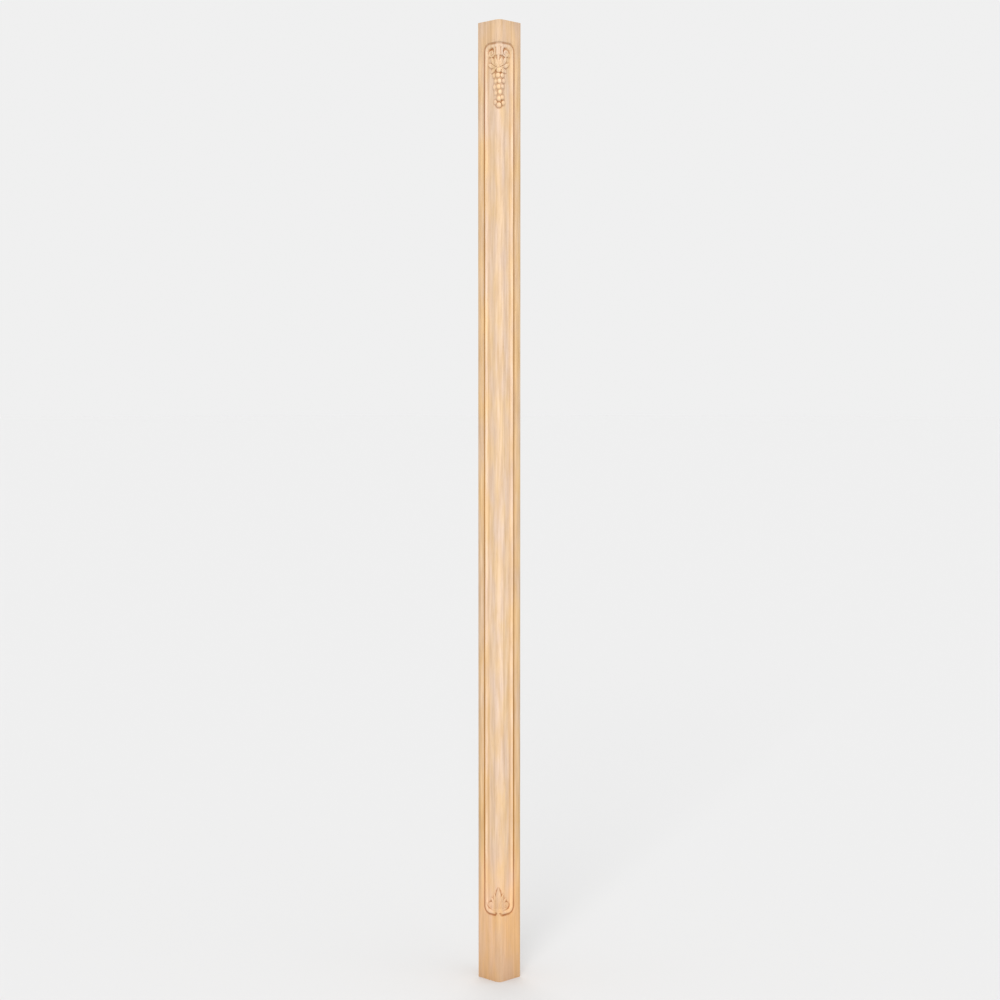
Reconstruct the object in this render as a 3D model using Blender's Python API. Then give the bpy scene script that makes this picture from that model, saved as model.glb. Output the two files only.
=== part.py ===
"""Carved corner post in pale wood, one solid piece.

A square post stands on its foot with +Z up and its faces square to X and Y. The arris between the
-Y face and the +X face is rounded and carries a long sunk panel: a groove and a bead run round
its border, a bunch of grapes hangs at the top under leaves and scrolls, and a palmette with two
scrolls stands at the bottom. The other two faces are plain.

Carved forms are first made flat, with X across the panel, Y up the post and Z out of the wood,
and are then bent over the arris.
"""
import math

import bmesh
import bpy
from mathutils import Matrix, Vector

OBJECT_NAME = "corner_post"
CUTTER_NAME = "corner_post_cutters"

# Square blank, in metres
SIDE = 0.0762
HEIGHT = 2.4384
ARRIS_RADIUS = 0.0127
ARRIS_STEPS = 8
BACK_EASE = 0.0008

# Groove round the panel, measured over the surface from the middle of the arris
GROOVE_ACROSS = 0.0510
GROOVE_TOP = 2.3815
GROOVE_FOOT = 0.1710
GROOVE_RADIUS = 0.0017
GROOVE_DEPTH = 0.0036
GROOVE_LIFT = 0.0004
TOP_CORNER = 0.0140
FOOT_CORNER = 0.0180
CORNER_STEPS = 6
HOOK_GAP = 0.0045
HOOK_RISE = 0.0060
HOOK_RUN = 0.0060
HOOK_TURN = (0.0020, 0.0015)

# Bead inside the groove
BEAD_OUTER = 0.0008
BEAD_LIP = 0.0012
BEAD_CREST = 0.0034
BEAD_FOOT = 0.0088
BEAD_DROP = 0.0002
BEAD_STEPS = 5

# Sunk field inside the bead
FIELD_DEPTH = 0.0036
FIELD_RADIUS = 0.0180
FIELD_NARROWER = FIELD_DEPTH + (FIELD_RADIUS - ARRIS_RADIUS) * (1 - math.pi / 4)
FIELD_STEP = 0.0005
BEND_STEPS = 5
CUTTER_OUT = 0.0120

# Sides of rods and bosses, and the distance within which points are one point
ROD_SIDES = 2
BOSS_SEGMENTS = 12
BOSS_RINGS = 8
WELD = 0.000005

# Carving, centred a little to the left of the arris; forms are rooted a little under the field
# and stop short of the blank's own skin
AXIS = -0.0023
FORM_INSET = FIELD_DEPTH + 0.0005
SKIN_GAP = 0.0003
LOW_RELIEF = FORM_INSET - SKIN_GAP
BOSS_SINK = 0.0002

# Bunch of grapes: places across each row in steps of the pitch, starts and tilts of the rows in
# steps of the drop
GRAPE_WIDTH = 0.0120
GRAPE_LENGTH = 0.0142
GRAPE_PITCH = 0.0104
GRAPE_RELIEF = 0.0060
GRAPE_SEGMENTS = 14
GRAPE_RINGS = 9
BUNCH_TOP = 2.3145
ROW_DROP = 0.0141
BUNCH_ROWS = ((0.1, 1.15), (-1.15, -0.1, 0.95), (-0.65, 0.2, 1.3), (-1.0, 0.0, 1.0), (-0.6, 0.35),
              (0.1, 0.95), (-0.75, 1.2), (0.1,))
ROW_TILTS = (-0.15, 0.0, 0.05, 0.05, 0.22, 0.25, -0.06, 0.0)
ROW_STARTS = (0.0, 1.0, 2.0, 3.0, 4.0, 5.1, 5.75, 6.2)

# Stem over the bunch
STEM_TOP = 2.3740
STEM_FOOT = 2.3240
STEM_WIDTH = 0.0056
STEM_TAPER = 0.7
STEM_RELIEF = 0.0050
STEM_STEPS = 4

# Crown that ties the stem and the scrolls to the bead
CROWN_UP = 2.3675
CROWN = (0.0115, 0.0090)
CROWN_RELIEF = 0.0038

# Scrolls either side of the stem: spread is their width over their height
SCROLL_UP = 2.3572
SCROLL_ACROSS = 0.0180
SCROLL_RADIUS = 0.0116
SCROLL_START = -50.0
SCROLL_ROOT = (0.0020, 0.0050)
SCROLL_SPREAD = 1.15
SCROLL_LEAN = 0.35
SCROLL_TURNS = 1.35
SCROLL_DECAY = 0.72
SCROLL_BAND = 0.0024
SCROLL_STEPS = 20
SCROLL_TAPER = 0.26
ROOT_SHARE = 0.70
EYE_SHARE = 1.25
BED_SHARE = 0.74
BED_RELIEF = 0.0024

# Vine leaves under the scrolls: slope in degrees, length and half width of each lobe
LEAF_UP = 2.3205
LEAF_LOBES = ((62.0, 0.0260, 0.0056), (37.0, 0.0340, 0.0078), (9.0, 0.0350, 0.0074),
              (-28.0, 0.0255, 0.0066))
LEAF_BOW = 0.10
LEAF_SWELL = 1.25
LOBE_STEPS = 8
LOBE_TIP = 0.10

# Palmette at the foot of the panel: slope, length and half width of its side lobes
PALMETTE_FOOT = 0.1800
PALMETTE_TOP = 0.2440
PALMETTE_WIDTH = 0.0115
PALMETTE_RELIEF = 0.0052
PALMETTE_SWELL = 0.70
SIDE_LOBES = ((66.0, 0.0385, 0.0066), (47.0, 0.0335, 0.0062))
SIDE_SWELL = 0.85
KNOB = 0.0050
FOOT_SCROLL_UP = 0.1945
FOOT_SCROLL_ACROSS = 0.0223
FOOT_SCROLL_RADIUS = 0.0098
FOOT_SCROLL_START = -80.0
FOOT_SCROLL_ROOT = (0.0015, 0.0120)
FOOT_SCROLL_LEAN = 0.0
FOOT_SCROLL_BAND = 0.0021

# Pale unfinished wood
WOOD_COLOUR = (0.745, 0.545, 0.360, 1.0)
WOOD_ROUGHNESS = 0.62

# Edges steeper than this stay sharp, in degrees
SHARP_ANGLE = 35.0


def clear_scene():
    """Start from an empty file."""
    for thing in list(bpy.data.objects):
        bpy.data.objects.remove(thing)


def collection(name, hidden=False):
    """Make a collection in the scene."""
    group = bpy.data.collections.new(name)
    bpy.context.scene.collection.children.link(group)
    group.hide_render = hidden
    return group


def wood():
    """Pale sanded wood."""
    material = bpy.data.materials.new("wood")
    material.use_nodes = True
    shader = material.node_tree.nodes["Principled BSDF"]
    shader.inputs["Base Color"].default_value = WOOD_COLOUR
    shader.inputs["Roughness"].default_value = WOOD_ROUGHNESS
    shader.inputs["Metallic"].default_value = 0.0
    return material


def add(name, bm, group):
    """Turn a bmesh into an object."""
    mesh = bpy.data.meshes.new(name)
    bmesh.ops.recalc_face_normals(bm, faces=bm.faces)
    bm.to_mesh(mesh)
    bm.free()
    thing = bpy.data.objects.new(name, mesh)
    group.objects.link(thing)
    return thing


def over_arris(across, up, out, inset, radius):
    """Point on a skin inset from both faces and rounded over the carved arris.

    Across runs over the skin from the middle of the arris, positive on the +X face, and out
    stands square off the skin.
    """
    quarter = math.pi / 4
    turn = max(-quarter, min(quarter, across / radius)) - quarter
    normal = Vector((math.cos(turn), math.sin(turn), 0))
    middle = Vector((SIDE / 2 - inset - radius, inset + radius - SIDE / 2, up))
    run = max(abs(across) - radius * quarter, 0)
    away = Vector((0, run, 0)) if across > 0 else Vector((-run, 0, 0))
    return middle + normal * (radius + out) + away


def bend(thing, inset, radius):
    """Wrap a flat form over the arris."""
    bm = bmesh.new()
    bm.from_mesh(thing.data)
    reach = radius * math.pi / 4
    for step in range(-BEND_STEPS, BEND_STEPS + 1):
        bmesh.ops.bisect_plane(bm, geom=bm.verts[:] + bm.edges[:] + bm.faces[:], dist=WELD,
                               plane_co=(reach * step / BEND_STEPS, 0, 0), plane_no=(1, 0, 0))
    for vert in bm.verts:
        vert.co = over_arris(vert.co.x, vert.co.y, vert.co.z, inset, radius)
    bmesh.ops.triangulate(bm, faces=bm.faces)
    bm.to_mesh(thing.data)
    bm.free()


def blank(group):
    """Square post with the carved arris rounded and the others just eased."""
    bm = bmesh.new()
    bmesh.ops.create_cube(bm, size=1.0)
    bmesh.ops.scale(bm, vec=(SIDE, SIDE, HEIGHT), verts=bm.verts)
    bmesh.ops.translate(bm, vec=(0, 0, HEIGHT / 2), verts=bm.verts)
    upright = [e for e in bm.edges if abs(e.verts[0].co.z - e.verts[1].co.z) > HEIGHT / 2]
    front = [e for e in upright if e.verts[0].co.x > 0 and e.verts[0].co.y < 0]
    back = [e for e in upright if e not in front]
    bmesh.ops.bevel(bm, geom=back, offset=BACK_EASE, segments=1, affect="EDGES")
    front = [e for e in bm.edges if abs(e.verts[0].co.z - e.verts[1].co.z) > HEIGHT / 2
             and min(e.verts[0].co.x, -e.verts[0].co.y) > SIDE / 2 - BACK_EASE / 2]
    bmesh.ops.bevel(bm, geom=front, offset=ARRIS_RADIUS, segments=ARRIS_STEPS, profile=0.5,
                    affect="EDGES")
    return add(OBJECT_NAME, bm, group)


def arc(x, y, radius, start):
    """Quarter turn, anticlockwise from the start angle in degrees."""
    points = []
    for step in range(CORNER_STEPS + 1):
        angle = math.radians(start + 90 * step / CORNER_STEPS)
        points.append((x + radius * math.cos(angle), y + radius * math.sin(angle)))
    return points


def ring(inward, narrower=0.0):
    """Four rounded corners of the panel border, anticlockwise, some way inside the groove."""
    wide = GROOVE_ACROSS - narrower
    low = GROOVE_FOOT
    high = GROOVE_TOP
    points = arc(wide - FOOT_CORNER, low + FOOT_CORNER, FOOT_CORNER - inward, -90)
    points += arc(wide - TOP_CORNER, high - TOP_CORNER, TOP_CORNER - inward, 0)
    points += arc(TOP_CORNER - wide, high - TOP_CORNER, TOP_CORNER - inward, 90)
    points += arc(FOOT_CORNER - wide, low + FOOT_CORNER, FOOT_CORNER - inward, 180)
    return points


def groove_line():
    """Line of the groove, whose two ends hook up beside the bud at the bottom."""
    hook = [(HOOK_GAP, HOOK_RISE), (HOOK_GAP + HOOK_TURN[0], HOOK_TURN[1]), (HOOK_GAP + HOOK_RUN, 0)]
    start = [(AXIS + across, GROOVE_FOOT + up) for across, up in hook]
    end = [(AXIS - across, GROOVE_FOOT + up) for across, up in reversed(hook)]
    return start + ring(0) + end


def bead_section():
    """Section that clears the wood over the bead, inward from the groove and out of the wood."""
    points = [(BEAD_OUTER, CUTTER_OUT), (BEAD_OUTER, -BEAD_LIP)]
    drop = FIELD_DEPTH - BEAD_DROP
    for step in range(BEAD_STEPS + 1):
        angle = math.pi / 2 * step / BEAD_STEPS
        points.append((BEAD_CREST + (BEAD_FOOT - BEAD_CREST) * math.sin(angle),
                       -BEAD_DROP - drop * (1 - math.cos(angle))))
    points.append((BEAD_FOOT, CUTTER_OUT))
    return points


def flat_line(name, points, closed, dimensions):
    """Curve through flat points."""
    curve = bpy.data.curves.new(name, "CURVE")
    curve.dimensions = dimensions
    line = curve.splines.new("POLY")
    line.points.add(len(points) - 1)
    line.use_cyclic_u = closed
    for spot, (x, y) in zip(line.points, points):
        spot.co = (x, y, 0, 1)
    return curve


def curve_mesh(name, curve, group):
    """Turn a curve into a closed mesh object and remove the curve."""
    source = bpy.data.objects.new(name + "_line", curve)
    bpy.context.scene.collection.objects.link(source)
    bpy.context.view_layer.update()
    graph = bpy.context.evaluated_depsgraph_get()
    mesh = bpy.data.meshes.new_from_object(source.evaluated_get(graph))
    thing = bpy.data.objects.new(name, mesh)
    thing.matrix_world = source.matrix_world.copy()
    group.objects.link(thing)
    bpy.data.objects.remove(source)
    bm = bmesh.new()
    bm.from_mesh(mesh)
    bmesh.ops.remove_doubles(bm, verts=bm.verts, dist=WELD)
    bmesh.ops.recalc_face_normals(bm, faces=bm.faces)
    bm.to_mesh(mesh)
    bm.free()
    return thing


def sweep(name, path, section, group):
    """Closed path swept by a closed section."""
    shape = flat_line(name + "_section", section, True, "2D")
    guide = bpy.data.objects.new(name + "_section", shape)
    bpy.context.scene.collection.objects.link(guide)
    curve = flat_line(name, path, True, "2D")
    curve.bevel_mode = "OBJECT"
    curve.bevel_object = guide
    thing = curve_mesh(name, curve, group)
    bpy.data.objects.remove(guide)
    return thing


def rod(name, points, radii, thick, group):
    """Rod of changing radius along flat points, squashed to a share of its thickness."""
    curve = flat_line(name, points, False, "3D")
    curve.bevel_depth = 1.0
    curve.bevel_resolution = ROD_SIDES
    curve.use_fill_caps = True
    curve.twist_mode = "Z_UP"
    for spot, radius in zip(curve.splines[0].points, radii):
        spot.radius = radius
    thing = curve_mesh(name, curve, group)
    thing.data.transform(Matrix.Diagonal((1, 1, thick, 1)))
    return thing


def field_slab(group):
    """Slab whose underside is the sunk field."""
    points = ring(BEAD_FOOT - FIELD_STEP, FIELD_NARROWER)
    bm = bmesh.new()
    verts = [bm.verts.new((x, y, 0)) for x, y in points]
    floor = bm.faces.new(verts)
    rise = bmesh.ops.extrude_face_region(bm, geom=[floor])
    top = [v for v in rise["geom"] if isinstance(v, bmesh.types.BMVert)]
    bmesh.ops.translate(bm, vec=(0, 0, CUTTER_OUT), verts=top)
    return add("field", bm, group)


def grape(across, up, group):
    """One grape, sunk so that it stays behind the faces of the blank."""
    bm = bmesh.new()
    bmesh.ops.create_uvsphere(bm, u_segments=GRAPE_SEGMENTS, v_segments=GRAPE_RINGS, radius=0.5)
    bmesh.ops.scale(bm, vec=(GRAPE_WIDTH, GRAPE_WIDTH, GRAPE_LENGTH), verts=bm.verts)
    turn = max(math.pi / 4 - abs(across) / FIELD_RADIUS, 0)
    room = FIELD_RADIUS + FIELD_DEPTH - SKIN_GAP - GRAPE_WIDTH / 2
    out = min(GRAPE_RELIEF - GRAPE_WIDTH / 2, room / math.cos(turn) - FIELD_RADIUS)
    seat = over_arris(across, up, out, FIELD_DEPTH, FIELD_RADIUS)
    bmesh.ops.translate(bm, vec=seat, verts=bm.verts)
    return add("grape", bm, group)


def bunch(group):
    """Rows of grapes, closer and more tilted towards the end of the bunch."""
    grapes = []
    for places, start, tilt in zip(BUNCH_ROWS, ROW_STARTS, ROW_TILTS):
        for place in places:
            up = BUNCH_TOP - (start - tilt * place) * ROW_DROP
            grapes.append(grape(AXIS + place * GRAPE_PITCH, up, group))
    return grapes


def boss(name, middle, size, relief, group):
    """Low boss; size holds its half width and half height."""
    bm = bmesh.new()
    bmesh.ops.create_uvsphere(bm, u_segments=BOSS_SEGMENTS, v_segments=BOSS_RINGS, radius=1.0)
    bmesh.ops.scale(bm, vec=(size[0], size[1], relief), verts=bm.verts)
    bmesh.ops.translate(bm, vec=(middle[0], middle[1], -BOSS_SINK), verts=bm.verts)
    thing = add(name, bm, group)
    bend(thing, FORM_INSET, FIELD_RADIUS)
    return thing


def lobe(name, root, slope, size, side, bow, swell, relief, group):
    """Pointed lobe that leaves its root at a slope; size holds its length and half width."""
    length, width = size
    points = []
    radii = []
    for step in range(LOBE_STEPS + 1):
        share = step / LOBE_STEPS
        angle = math.radians(slope + 180 * bow * (share - 0.5))
        points.append((root[0] + side * length * share * math.cos(angle),
                       root[1] + length * share * math.sin(angle)))
        radii.append(width * max(math.sin(math.pi * share ** swell), LOBE_TIP))
    thing = rod(name, points, radii, relief / width, group)
    bend(thing, FORM_INSET, FIELD_RADIUS)
    return thing


def scroll(name, middle, radius, side, start, lean, root, width, group):
    """Spiral band that leaves a root point, passes under and round, and curls in to an eye."""
    points = [root]
    radii = [width * ROOT_SHARE]
    for step in range(SCROLL_STEPS + 1):
        share = step / SCROLL_STEPS
        turns = SCROLL_TURNS * share
        angle = math.radians(start) - 2 * math.pi * turns
        reach = radius * math.exp(-SCROLL_DECAY * turns)
        wide = lean * math.sin(angle) - SCROLL_SPREAD * math.cos(angle)
        points.append((middle[0] + side * reach * wide, middle[1] + reach * math.sin(angle)))
        radii.append(width * (1 - SCROLL_TAPER * share))
    band = rod(name, points, radii, LOW_RELIEF / width, group)
    bend(band, FORM_INSET, FIELD_RADIUS)
    eye = boss(name + "_eye", points[-1], (width * EYE_SHARE, width * EYE_SHARE), LOW_RELIEF, group)
    bed = boss(name + "_bed", middle, (radius * BED_SHARE, radius * BED_SHARE), BED_RELIEF, group)
    return [bed, band, eye]


def stem(group):
    """Stem that runs down the arris from the bead to the bunch, a little thicker below."""
    points = []
    radii = []
    for step in range(STEM_STEPS + 1):
        share = step / STEM_STEPS
        points.append((AXIS, STEM_TOP + (STEM_FOOT - STEM_TOP) * share))
        radii.append(STEM_WIDTH / 2 * (STEM_TAPER + (1 - STEM_TAPER) * share))
    thing = rod("stem", points, radii, STEM_RELIEF / (STEM_WIDTH / 2), group)
    bend(thing, FORM_INSET, FIELD_RADIUS)
    return thing


def top_carving(group):
    """Leaves, scrolls, stem and grapes."""
    forms = [boss("crown", (AXIS, CROWN_UP), CROWN, CROWN_RELIEF, group)]
    for side in (-1, 1):
        for slope, length, width in LEAF_LOBES:
            forms.append(lobe("leaf", (AXIS, LEAF_UP), slope, (length, width), side, LEAF_BOW,
                              LEAF_SWELL, LOW_RELIEF, group))
        root = (AXIS + side * SCROLL_ROOT[0], SCROLL_UP - SCROLL_ROOT[1])
        forms += scroll("scroll", (AXIS + side * SCROLL_ACROSS, SCROLL_UP), SCROLL_RADIUS, side,
                        SCROLL_START, SCROLL_LEAN, root, SCROLL_BAND, group)
    forms.append(stem(group))
    return forms + bunch(group)


def foot_carving(group):
    """Palmette and its two scrolls."""
    forms = [boss("knob", (AXIS, PALMETTE_FOOT), (KNOB, KNOB), LOW_RELIEF, group)]
    for side in (-1, 1):
        root = (AXIS + side * FOOT_SCROLL_ROOT[0], FOOT_SCROLL_UP - FOOT_SCROLL_ROOT[1])
        forms += scroll("foot_scroll", (AXIS + side * FOOT_SCROLL_ACROSS, FOOT_SCROLL_UP),
                        FOOT_SCROLL_RADIUS, side, FOOT_SCROLL_START, FOOT_SCROLL_LEAN, root,
                        FOOT_SCROLL_BAND, group)
        for slope, length, width in SIDE_LOBES:
            forms.append(lobe("side_lobe", (AXIS, PALMETTE_FOOT), slope, (length, width), side,
                              -LEAF_BOW, SIDE_SWELL, LOW_RELIEF, group))
    forms.append(lobe("palmette", (AXIS, PALMETTE_FOOT), 90,
                      (PALMETTE_TOP - PALMETTE_FOOT, PALMETTE_WIDTH), 1, 0, PALMETTE_SWELL,
                      PALMETTE_RELIEF, group))
    return forms


def combine(body, tool, operation):
    """Run one exact Boolean on the body, apply it and weld the points it leaves all but touching."""
    modifier = body.modifiers.new(operation, "BOOLEAN")
    modifier.operation = operation
    modifier.solver = "EXACT"
    modifier.object = tool
    graph = bpy.context.evaluated_depsgraph_get()
    mesh = bpy.data.meshes.new_from_object(body.evaluated_get(graph))
    body.modifiers.clear()
    bm = bmesh.new()
    bm.from_mesh(mesh)
    bmesh.ops.remove_doubles(bm, verts=bm.verts, dist=WELD)
    bmesh.ops.dissolve_degenerate(bm, edges=bm.edges, dist=WELD)
    bm.to_mesh(mesh)
    bm.free()
    body.data = mesh
    tool.hide_render = True
    tool.display_type = "WIRE"


def panel_cutters(group):
    """Groove, bead and sunk field."""
    line = groove_line()
    widths = [GROOVE_RADIUS] * len(line)
    groove = rod("groove", line, widths, (GROOVE_DEPTH + GROOVE_LIFT) / GROOVE_RADIUS, group)
    groove.data.transform(Matrix.Translation((0, 0, GROOVE_LIFT)))
    bend(groove, 0, ARRIS_RADIUS)
    bead = sweep("bead", ring(0), bead_section(), group)
    bend(bead, 0, ARRIS_RADIUS)
    field = field_slab(group)
    bend(field, FIELD_DEPTH, FIELD_RADIUS)
    return groove, bead, field


def main():
    clear_scene()
    parts = collection(OBJECT_NAME)
    cutters = collection(CUTTER_NAME, hidden=True)
    post = blank(parts)
    for cutter in panel_cutters(cutters):
        combine(post, cutter, "DIFFERENCE")
    for form in top_carving(cutters) + foot_carving(cutters):
        combine(post, form, "UNION")
    post.data.materials.clear()
    post.data.materials.append(wood())
    post.data.shade_smooth()
    post.data.set_sharp_from_angle(angle=math.radians(SHARP_ANGLE))


main()
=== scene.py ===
"""Carved corner post in pale wood: the visual model, its light and the camera.

The post is one piece of wood. Its two carved faces are one height map: across runs over the floor
of the sunk field from the middle of the arris, up runs up the post, and the height stands square
off that floor. Sizes are in millimetres until the mesh is made, and in metres after that.
"""
import math

import bmesh
import bpy
import numpy as np
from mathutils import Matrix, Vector


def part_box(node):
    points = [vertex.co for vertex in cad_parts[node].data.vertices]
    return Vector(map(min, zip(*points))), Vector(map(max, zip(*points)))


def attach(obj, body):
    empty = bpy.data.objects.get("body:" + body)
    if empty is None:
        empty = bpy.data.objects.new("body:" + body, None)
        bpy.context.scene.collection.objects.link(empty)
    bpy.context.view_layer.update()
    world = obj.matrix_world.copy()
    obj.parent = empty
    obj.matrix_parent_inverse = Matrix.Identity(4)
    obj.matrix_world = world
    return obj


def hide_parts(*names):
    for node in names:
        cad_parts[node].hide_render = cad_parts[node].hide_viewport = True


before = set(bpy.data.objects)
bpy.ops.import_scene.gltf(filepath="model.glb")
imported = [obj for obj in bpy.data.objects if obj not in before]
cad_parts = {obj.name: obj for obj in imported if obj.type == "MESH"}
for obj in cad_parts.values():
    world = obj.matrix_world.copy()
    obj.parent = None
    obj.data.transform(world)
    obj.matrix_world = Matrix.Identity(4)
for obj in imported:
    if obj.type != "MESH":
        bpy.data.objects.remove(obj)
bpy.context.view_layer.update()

# Millimetres in a metre, an eighth of a turn, and distances that nothing reaches or that don't count
MM = 1000.0
EIGHTH_TURN = math.pi / 4
FAR = 1e6
TINY = 1e-6

# Blank: its size is the CAD solid's
LOW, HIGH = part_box("corner_post")
SIDE = MM * (HIGH.x - LOW.x)
HEIGHT = MM * (HIGH.z - LOW.z)
ARRIS_RADIUS = 12.7
BACK_EASE = 0.8
END_EASE = 0.6

# Floor of the sunk field, rounded over the arris
FIELD_DEPTH = 3.6
FIELD_RADIUS = 18.0
FIELD_ARC = FIELD_RADIUS * EIGHTH_TURN
FIELD_CORNER = 15.0

# Carving, centred a little to the left of the arris; forms rise by shares of the depth of the field
AXIS = -2.3
SKIN_GAP = 0.25  # tops of the forms under the top of the bead
OUTSIDE_FALL = 3.0  # millimetres under the floor for a share of -1
NO_FORM = -3.0  # share where nothing is carved
FORM_MARGIN = 3  # a form is worked out this far past its size
SET_IN = 1.5  # most that the ground is cut down beside a form
SET_IN_REACH = 2.4
FORM_EDGE = (-0.1, 0.2)  # shares where the ground gives way to a form
GROUND_SOFT = 0.5
SKIN_SOFT = 0.3
CARVED_FROM = (0.4, 1.2)  # inside the groove's middle, from skin to carving


def smooth_max(a, b, soft):
    """Larger of two heights, rounded where they meet."""
    return np.maximum(a, b) + np.maximum(soft - np.abs(a - b), 0) ** 2 / (4 * soft)


def smooth_min(a, b, soft):
    """Smaller of two heights, rounded where they meet."""
    return -smooth_max(-a, -b, soft)


def step_between(low, high, x):
    """Smooth step from 0 at low to 1 at high."""
    t = np.clip((x - low) / (high - low), 0, 1)
    return t * t * (3 - 2 * t)


def at_ends(foot, top, tall):
    """1 under the foot's step and over the top's step, 0 between them."""
    return step_between(*top, tall) + 1 - step_between(*foot, tall)


def bell(x, middle, half, power=2):
    """Bell curve, 1 at its middle."""
    return np.exp(-((x - middle) / half) ** power)


def skin_height(across):
    """Height of the blank's own skin over the floor of the field."""
    turn = EIGHTH_TURN + np.minimum(np.abs(across) / FIELD_RADIUS, EIGHTH_TURN)
    centre = FIELD_DEPTH + FIELD_RADIUS
    flat = centre / np.sin(turn)
    beside = centre - flat * np.cos(turn)
    lean = (centre - ARRIS_RADIUS) * (np.cos(turn) + np.sin(turn))
    gap = 2 * (centre - ARRIS_RADIUS) ** 2 - ARRIS_RADIUS ** 2
    rounded = lean + np.sqrt(np.maximum(lean ** 2 - gap, 0))
    return np.where(beside >= ARRIS_RADIUS, flat, rounded) - FIELD_RADIUS


class Relief:
    """Map of the carved forms over the unrolled field, as shares of its depth."""

    def __init__(self, across, up):
        self.across = across
        self.up = up
        self.share = np.full((len(up), len(across)), NO_FORM)

    def window(self, low, high, left, right):
        """Part of the map inside a box, with its places across and up."""
        rows = slice(*np.searchsorted(self.up, (low, high)))
        columns = slice(*np.searchsorted(self.across, (left, right)))
        across, up = np.meshgrid(self.across[columns], self.up[rows])
        return (rows, columns), across, up

    def join(self, place, share, soft):
        """Blend a form into the map."""
        self.share[place] = smooth_max(self.share[place], share, soft)


def follow(points, across, up):
    """Distance from a line of points, the share of its length at the nearest place, and the side."""
    ends = np.array(points, dtype=float)
    lengths = np.hypot(*(ends[1:] - ends[:-1]).T)
    total = lengths.sum()
    near = np.full(across.shape, FAR)
    share = np.zeros(across.shape)
    side = np.zeros(across.shape)
    done = 0.0
    for (x0, y0), (x1, y1), length in zip(ends[:-1], ends[1:], lengths):
        dx = (x1 - x0) / length
        dy = (y1 - y0) / length
        run = np.clip((across - x0) * dx + (up - y0) * dy, 0, length)
        ex = across - x0 - run * dx
        ey = up - y0 - run * dy
        distance = np.hypot(ex, ey)
        nearer = distance < near
        near = np.where(nearer, distance, near)
        share = np.where(nearer, (done + run) / total, share)
        side = np.where(nearer, np.sign(dx * ey - dy * ex), side)
        done += length
    return near, share, side


def box_of(points, margin):
    """Box round some points: low, high, left, right."""
    xs = [p[0] for p in points]
    ys = [p[1] for p in points]
    return min(ys) - margin, max(ys) + margin, min(xs) - margin, max(xs) + margin


def box_distance(x, y):
    """Distance outside a box's corner by the distances past its two sides, less than 0 inside it."""
    return np.hypot(np.maximum(x, 0), np.maximum(y, 0)) + np.minimum(np.maximum(x, y), 0)


# Section of a rounded form: fullness inside it, and fall outside it
FULLNESS = 0.62
OUTER_FALL = 0.8


def cushion(ratio, power=2.0):
    """Section of a rounded form over its half width, falling away outside it."""
    inside = np.maximum(1 - np.abs(ratio) ** power, 0) ** FULLNESS
    return inside - np.maximum(np.abs(ratio) - 1, 0) * OUTER_FALL


def dome(relief, middle, size, top, soft, power=2.0):
    """Rounded boss, by its middle and half sizes."""
    x, y = middle
    wide, tall = size
    place, across, up = relief.window(y - tall - FORM_MARGIN, y + tall + FORM_MARGIN,
                                      x - wide - FORM_MARGIN, x + wide + FORM_MARGIN)
    ratio = np.hypot((across - x) / wide, (up - y) / tall)
    relief.join(place, top * cushion(ratio, power), soft)


def boss(relief, form, side=1):
    """Dome from a form's place beside the axis and up, half sizes, top, soft join and power."""
    (beside, level), size, *rest = form
    dome(relief, (AXIS + side * beside, level), size, *rest)


# Lobes of the leaves and the palmette, by the share of their length
CURVE_STEPS = 16
LOBE_PART = 0.945  # share of a half wave in the outline
LOBE_NARROWEST = 0.05
LOBE_OUTLINE = 0.85
LOBE_LOW = 0.74  # rise at the root, to which the swell is added
LOBE_SWELL = 0.26
LOBE_CREST = 1.15
LOBE_TIP = (0.90, 1.0)
TIP_DROP = 0.5
LOBE_SOFT = 0.10
TOOTH_SIZE = 0.08
TEETH = 4.5

# Veins and ribs cut in the lobes, and where such cuts fade out
VEIN_HALF = 0.75
RIB_SIZE = 0.05
RIB_WAVES = 1.6
RIB_OUTWARD = 0.9
RIB_FORWARD = 30
RIB_STARTS = 1.5  # how fast the ribs grow away from the vein
FADE_EDGE = 1.1  # over the half width, where cuts end
FADE_ROOT = (0.02, 0.16)
FADE_TIP = (0.80, 0.97)


def curve_points(root, slope, length, bow, side):
    """Line that leaves its root at a slope and bows as it goes."""
    points = []
    for step in range(CURVE_STEPS + 1):
        share = step / CURVE_STEPS
        angle = math.radians(slope + 180 * bow * (share - 0.5))
        points.append((root[0] + side * length * share * math.cos(angle),
                       root[1] + length * share * math.sin(angle)))
    return points


def leaf_outline(along, bend, power):
    """Half width of a pointed leaf by the share of its length, 1 at its widest."""
    return np.maximum(np.sin(math.pi * LOBE_PART * along ** bend), LOBE_NARROWEST) ** power


def cuts_fade(along, root):
    """1 where veins, ribs and flutes are cut, 0 at a form's root and tip."""
    return step_between(*root, along) * (1 - step_between(*FADE_TIP, along))


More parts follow.
